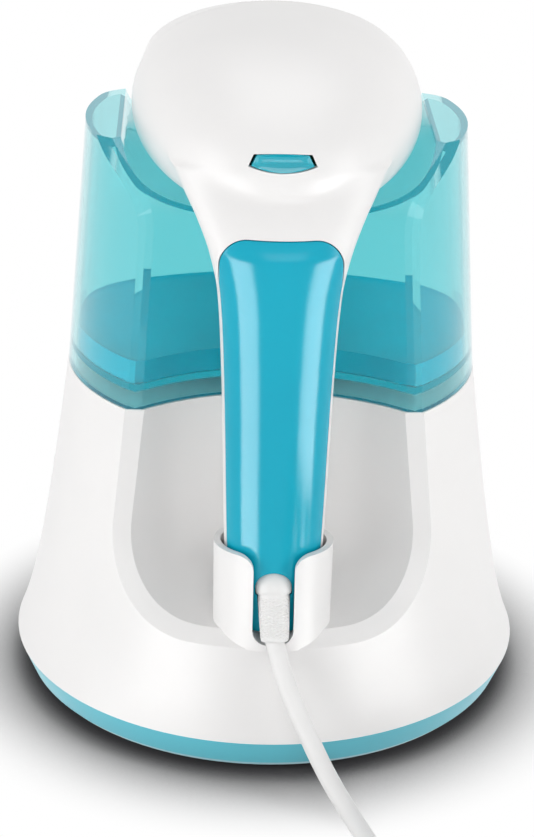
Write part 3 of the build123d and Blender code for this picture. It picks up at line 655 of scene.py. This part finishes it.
def reliefTools(s):
    # room round the collar and the sleeve
    wide, slim = (s["collar"] + s["collarGap"]) * mm, (s["sleeve"] + s["sleeveGap"]) * mm
    neck = reliefStart + reliefRun * s["collarRoom"]
    return [
        ballTool(reliefStart * mm, wide),
        rodTool(reliefStart * mm, neck * mm, wide),
        rodTool((reliefStart + reliefRun) * mm, (reliefEnd + reliefRun * s["pastEnd"]) * mm, slim),
    ]


# openings in the shell for the trigger, the tank's dock, the water inlet and the grip's screws, in metres
openingSet = {
    "trigger": ((-0.0058, -0.0625, 0.1290), (0.0058, -0.0400, 0.1695)),
    "dock": ((-0.0107, -0.0183, 0.1770), (0.0107, 0.0183, 0.1873)),
    "inlet": ((0, -0.025, 0.1750), (0, -0.025, 0.1925)), "inletRadius": 0.0049,
    "screwY": (-0.0615, -0.0450), "screwZ": (0.076, 0.124), "screwRadius": 0.00165, "screwSides": 24,
}


def bodyTools(s):
    bx, bz = buttonSet["at"][0], buttonSet["at"][2]
    pocket = [((bx + x) * mm, (bz + z) * mm) for x, z in barrelOutline(buttonSet, *buttonSet["pocket"])]
    rear, ahead = buttonSet["pocketY"]
    tools = [
        prismTool(pocket, rear * mm, ahead * mm),
        gripTool(gripSet, gripSet["gap"]),
        boxTool(*s["trigger"]),
        boxTool(*s["dock"]),
        rodTool(*s["inlet"], s["inletRadius"]),
    ]
    tools += reliefTools(reliefSet)
    y0, y1 = s["screwY"]
    tools += [rodTool((0, y0, z), (0, y1, z), s["screwRadius"], s["screwSides"]) for z in s["screwZ"]]
    return tools


body = hollowForm("handsetShell")
for tool in bodyTools(openingSet):
    cutBy(body, faceOut(tool))
softenEdges(body, handsetSet["edge"] * mm)
settle(body, "handset", "white", "white_plastic", "body_shell")
grip = hollowForm("gripCover")
cutBy(grip, faceOut(gripTool(gripSet, 0.0)), "INTERSECT")
for tool in reliefTools(reliefSet):
    cutBy(grip, faceOut(tool))
softenEdges(grip, gripSet["edge"] * mm)
settle(grip, "handset", "grip", "grip_plastic", "grip_cover")
print("handset shell and grip cover made")


def makeButton(s):
    # a dished front with a raised rim that rolls over at the edge
    bx, by, bz = s["at"]
    cols, rows = s["across"] + 1, s["up"] + 1
    front = []
    for j in range(rows):
        for i in range(cols):
            u, v = -1 + 2 * i / s["across"], -1 + 2 * j / s["up"]
            x, z = barrelPoint(u, v, s, -s["gap"], -s["endGap"])
            edge = max(abs(u), abs(v)) ** s["edgePower"]
            hollow = s["dish"] * ((1 - u * u) * (1 - v * v)) ** s["dishPower"]
            rimLift = s["rim"] * max(0.0, 1 - abs(edge - s["rimAt"]) / s["rimAt"])
            skin = domeSkin(bx + x, bz + z)
            y = skin - s["proud"] + hollow - rimLift + s["roll"] * edge ** 3
            front.append((bx + x, y, bz + z))
    verts = [Vector(p) * mm for p in front]
    faces = gridFaces(rows, cols, False)
    ring = list(range(cols)) + [r * cols + cols - 1 for r in range(1, rows)]
    ring += [(rows - 1) * cols + c for c in range(cols - 2, -1, -1)] + [r * cols for r in range(rows - 2, 0, -1)]
    base = len(verts)
    verts += [Vector((front[i][0], by + s["depth"], front[i][2])) * mm for i in ring]
    n = len(ring)
    faces += [(ring[k], ring[(k + 1) % n], base + (k + 1) % n, base + k) for k in range(n)]
    faces.append(tuple(range(base, base + n)))
    return faceOut(addMesh("thumbButton", verts, faces))


settle(creaseEdges(makeButton(buttonSet)), "button", "button", "button_plastic", "power_button")


def makeRelief(s):
    # a domed collar, a waist, then a tapered sleeve with crossed ribs and a rolled end
    length = (reliefEnd - reliefStart).length
    profile = []  # place along the run, radius, share of the ribs
    for k in range(s["perDome"] + 1):
        a = math.radians(90 - 90 * k / s["perDome"])
        profile.append((-s["collar"] * math.sin(a), s["collar"] * math.cos(a), 0.0))
    for along, r in (*s["waist"], (s["sleeveAt"], s["sleeve"])):
        profile.append((along, r, 0.0))
    span = length - s["sleeveAt"] - s["roll"]
    for k in range(1, s["along"] + 1):
        t = k / s["along"]
        ease = min(1.0, t / s["hatchFade"], (1 - t) / s["hatchFade"])
        profile.append((s["sleeveAt"] + span * t, s["sleeve"] + (s["tip"] - s["sleeve"]) * t, ease))
    for k in range(1, s["perRoll"] + 1):
        a = math.radians(90 * k / s["perRoll"])
        rolled = s["roll"] * (1 - math.sin(a))
        profile.append((length - rolled, s["tip"] - s["rollIn"] * (1 - math.cos(a)), 0.0))
    for back in (s["boreFrom"], s["boreTo"]):
        profile.append((length - back, s["bore"], 0.0))
    turn = reliefRun.to_track_quat("Z", "Y")
    verts, n = [], s["around"]
    for along, r, hatch in profile:
        for k in range(n):
            a = 2 * math.pi * k / n
            turned, twist = s["turns"] * a, s["turns"] * 2 * math.pi * along / s["pitch"]
            cross = max(math.cos(turned + twist), math.cos(turned - twist))
            lift = s["hatch"] * hatch * (max(0.0, cross) ** s["hatchPower"] - 0.5)
            spot = turn @ Vector(((r + lift) * math.cos(a), (r + lift) * math.sin(a), along))
            verts.append((reliefStart + spot) * mm)
    rows = len(profile)
    faces = gridFaces(rows, n) + [tuple(range((rows - 1) * n, rows * n))]
    return faceOut(addMesh("strainRelief", verts, faces))


settle(makeRelief(reliefSet), "handset", "lead", "lead_plastic", "strain_relief")
print("button and strain relief made")

# water standing in the tank, with a slight rise where it wets the wall
waterSet = {
    "floor": 125.7, "level": 132.5, "rise": 0.9, "wetReach": 1.6, "clear": 0.15, "wall": 2.4,
    "foot": (70.5, 117.0), "top": (64.0, 203.0), "front": (42.0, 120.0), "recess": (70.0, -105.4), "corner": 9.0,
    "centre": (0.0, 3.0), "around": 240, "rings": 14, "innermost": 0.98, "span": 60.0, "far": 110, "halvings": 20,
}


def makeWater(s):
    inset = s["wall"] + s["clear"]

    def outlineAt(z):
        (r0, z0), (r1, z1) = s["foot"], s["top"]
        outer = r0 + (r1 - r0) * (z - z0) / (z1 - z0) - inset

        def gap(p):
            x, y = p[..., 0], p[..., 1]
            sides = np.hypot(x, y) - outer
            ahead = np.hypot(x, y - s["front"][0] + s["front"][1]) - s["front"][1] + inset
            bite = s["recess"][0] + inset - np.hypot(x, y - s["recess"][1])
            return np.maximum(-softMin(-sides, -ahead, s["corner"]), bite)

        a = 2 * math.pi * np.arange(s["around"]) / s["around"]
        rays = np.stack((np.cos(a), np.sin(a)), 1)
        return walkRays(np.array(s["centre"]), rays, gap, far=s["far"], step=1, halvings=s["halvings"])

    verts, n = [], s["around"]
    for z in (s["floor"], s["level"] + s["rise"]):
        verts += [(x, y, z) for x, y in outlineAt(z)]
    edge = outlineAt(s["level"])
    cx, cy = s["centre"]
    for k in range(1, s["rings"] + 1):
        share = 1 - (k / s["rings"]) ** 2 * s["innermost"]
        away = (1 - share) * s["span"]
        z = s["level"] + s["rise"] * math.exp(-away / s["wetReach"])
        verts += [(cx + (x - cx) * share, cy + (y - cy) * share, z) for x, y in edge]
    rows = 2 + s["rings"]
    return faceOut(addMesh("tankWater", [Vector(v) * mm for v in verts], gridFaces(rows, n) + endCaps(rows, n)))


settle(creaseEdges(makeWater(waterSet)), "tank", "water", "clear_tank")
print("water filled")

# floor, world and lights
# the floor's shade grey is a painted contact shadow, laid into its colour near the object
floorSet = {
    "radius": 3.0, "sides": 96, "drop": 0.0003, "near": 0.090, "far": 0.130, "colour": (0.93, 0.93, 0.93),
    "shade": (0.10, 0.10, 0.105), "reach": 0.08, "open": (0.36, 0.97),
}
lampAim = Vector((0, 0, 0.11))
lightSet = {
    "left": {"at": (-1.05, -0.42, 0.42), "size": (0.42, 0.95), "power": 4.6},
    "right": {"at": (1.05, -0.46, 0.45), "size": (0.42, 0.95), "power": 4.2},
    "over": {"at": (0.06, 0.42, 1.45), "size": (1.0, 1.0), "power": 6.5},
    "front": {"at": (0.15, -1.70, 1.00), "size": (1.2, 0.9), "power": 6.0},
    "lowLeft": {"at": (-0.66, -0.72, -0.27), "size": (0.56, 0.70), "power": 21.0},
    "lowRight": {"at": (0.76, -0.64, -0.27), "size": (0.56, 0.70), "power": 17.0},
}
worldSet = {"fill": 0.42, "seen": 1.0}


def seenMask(tree):
    path = tree.nodes.new("ShaderNodeLightPath")
    first = tree.nodes.new("ShaderNodeMath")
    second = tree.nodes.new("ShaderNodeMath")
    second.use_clamp = True
    tree.links.new(path.outputs["Is Camera Ray"], first.inputs[0])
    tree.links.new(path.outputs["Is Glossy Ray"], first.inputs[1])
    tree.links.new(first.outputs[0], second.inputs[0])
    tree.links.new(path.outputs["Is Transmission Ray"], second.inputs[1])
    return second.outputs[0]


def makeFloor(s):
    r, n = s["radius"], s["sides"]
    turns = [2 * math.pi * k / n for k in range(n)]
    verts = [(r * math.cos(a), r * math.sin(a), -s["drop"]) for a in turns]
    floor = addMesh("floor", verts, [tuple(range(n))], False)
    material = bpy.data.materials.new("paleFloor")
    material.use_nodes = True
    tree = material.node_tree
    tree.nodes.clear()
    out = tree.nodes.new("ShaderNodeOutputMaterial")
    lit = tree.nodes.new("ShaderNodeBsdfDiffuse")
    # painted shadow: near the object the floor's colour darkens towards the shade grey by ambient occlusion
    closeTo = addNode(tree, "ShaderNodeAmbientOcclusion", Distance=s["reach"])
    openness = addNode(tree, "ShaderNodeMapRange", From_Min=s["open"][0], From_Max=s["open"][1])
    tone = tree.nodes.new("ShaderNodeMix")
    tone.data_type = "RGBA"
    tone.inputs["A"].default_value, tone.inputs["B"].default_value = (*s["shade"], 1.0), (*s["colour"], 1.0)
    tree.links.new(closeTo.outputs["AO"], openness.inputs["Value"])
    tree.links.new(openness.outputs["Result"], tone.inputs["Factor"])
    tree.links.new(tone.outputs["Result"], lit.inputs["Color"])
    white = addNode(tree, "ShaderNodeEmission", Color=(1, 1, 1, 1), Strength=1.0)
    place = tree.nodes.new("ShaderNodeNewGeometry")
    away = tree.nodes.new("ShaderNodeVectorMath")
    away.operation = "LENGTH"
    fade = addNode(tree, "ShaderNodeMapRange", From_Min=s["near"], From_Max=s["far"])
    fade.interpolation_type = "SMOOTHSTEP"
    share = tree.nodes.new("ShaderNodeMath")
    share.operation = "MULTIPLY"
    mix = tree.nodes.new("ShaderNodeMixShader")
    tree.links.new(place.outputs["Position"], away.inputs[0])
    tree.links.new(away.outputs["Value"], fade.inputs["Value"])
    tree.links.new(fade.outputs["Result"], share.inputs[0])
    tree.links.new(seenMask(tree), share.inputs[1])
    tree.links.new(share.outputs[0], mix.inputs[0])
    tree.links.new(lit.outputs[0], mix.inputs[1])
    tree.links.new(white.outputs[0], mix.inputs[2])
    tree.links.new(mix.outputs[0], out.inputs["Surface"])
    floor.data.materials.append(material)
    floor.visible_glossy = False  # gloss shows the low panels as a see-through table would


def makeWorld(s):
    world = bpy.data.worlds.new("studio")
    world.use_nodes = True
    scene.world = world
    tree = world.node_tree
    ground = tree.nodes["Background"]
    ground.inputs["Color"].default_value = (1, 1, 1, 1)
    level = addNode(tree, "ShaderNodeMapRange", To_Min=s["fill"], To_Max=s["seen"])
    tree.links.new(seenMask(tree), level.inputs["Value"])
    tree.links.new(level.outputs["Result"], ground.inputs["Strength"])


def makeLights(lights):
    for name, s in lights.items():
        data = bpy.data.lights.new(name, "AREA")
        data.shape, data.energy = "RECTANGLE", s["power"]
        data.size, data.size_y = s["size"]
        lamp = bpy.data.objects.new(name, data)
        at = Vector(s["at"])
        lamp.location = at
        lamp.rotation_mode = "QUATERNION"
        lamp.rotation_quaternion = (lampAim - at).to_track_quat("-Z", "Y")
        scene.collection.objects.link(lamp)


makeFloor(floorSet)
makeWorld(worldSet)
makeLights(lightSet)
print("stage and lights set")
